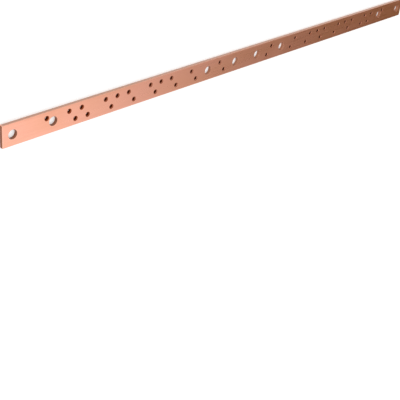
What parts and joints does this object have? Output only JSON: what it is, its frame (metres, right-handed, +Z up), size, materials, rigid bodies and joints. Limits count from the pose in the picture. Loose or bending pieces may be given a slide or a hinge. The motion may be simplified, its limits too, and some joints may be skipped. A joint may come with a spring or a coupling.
{
  "type": "copper busbar",
  "caption": "Flat copper busbar with rounded long edges, clearance holes for joining bolts on its centre line and rows of tapped holes for terminal screws.",
  "frame": {"origin": "middle of the underside, as the bar lies flat", "axes": "+X along the bar, +Y across it towards the row with more tapped holes, +Z up through its thickness"},
  "size_m": [0.88, 0.03, 0.005],
  "materials": {
    "copper": null
  },
  "bodies": {
    "root": {"busbar": "copper"}
  },
  "joints": []
}
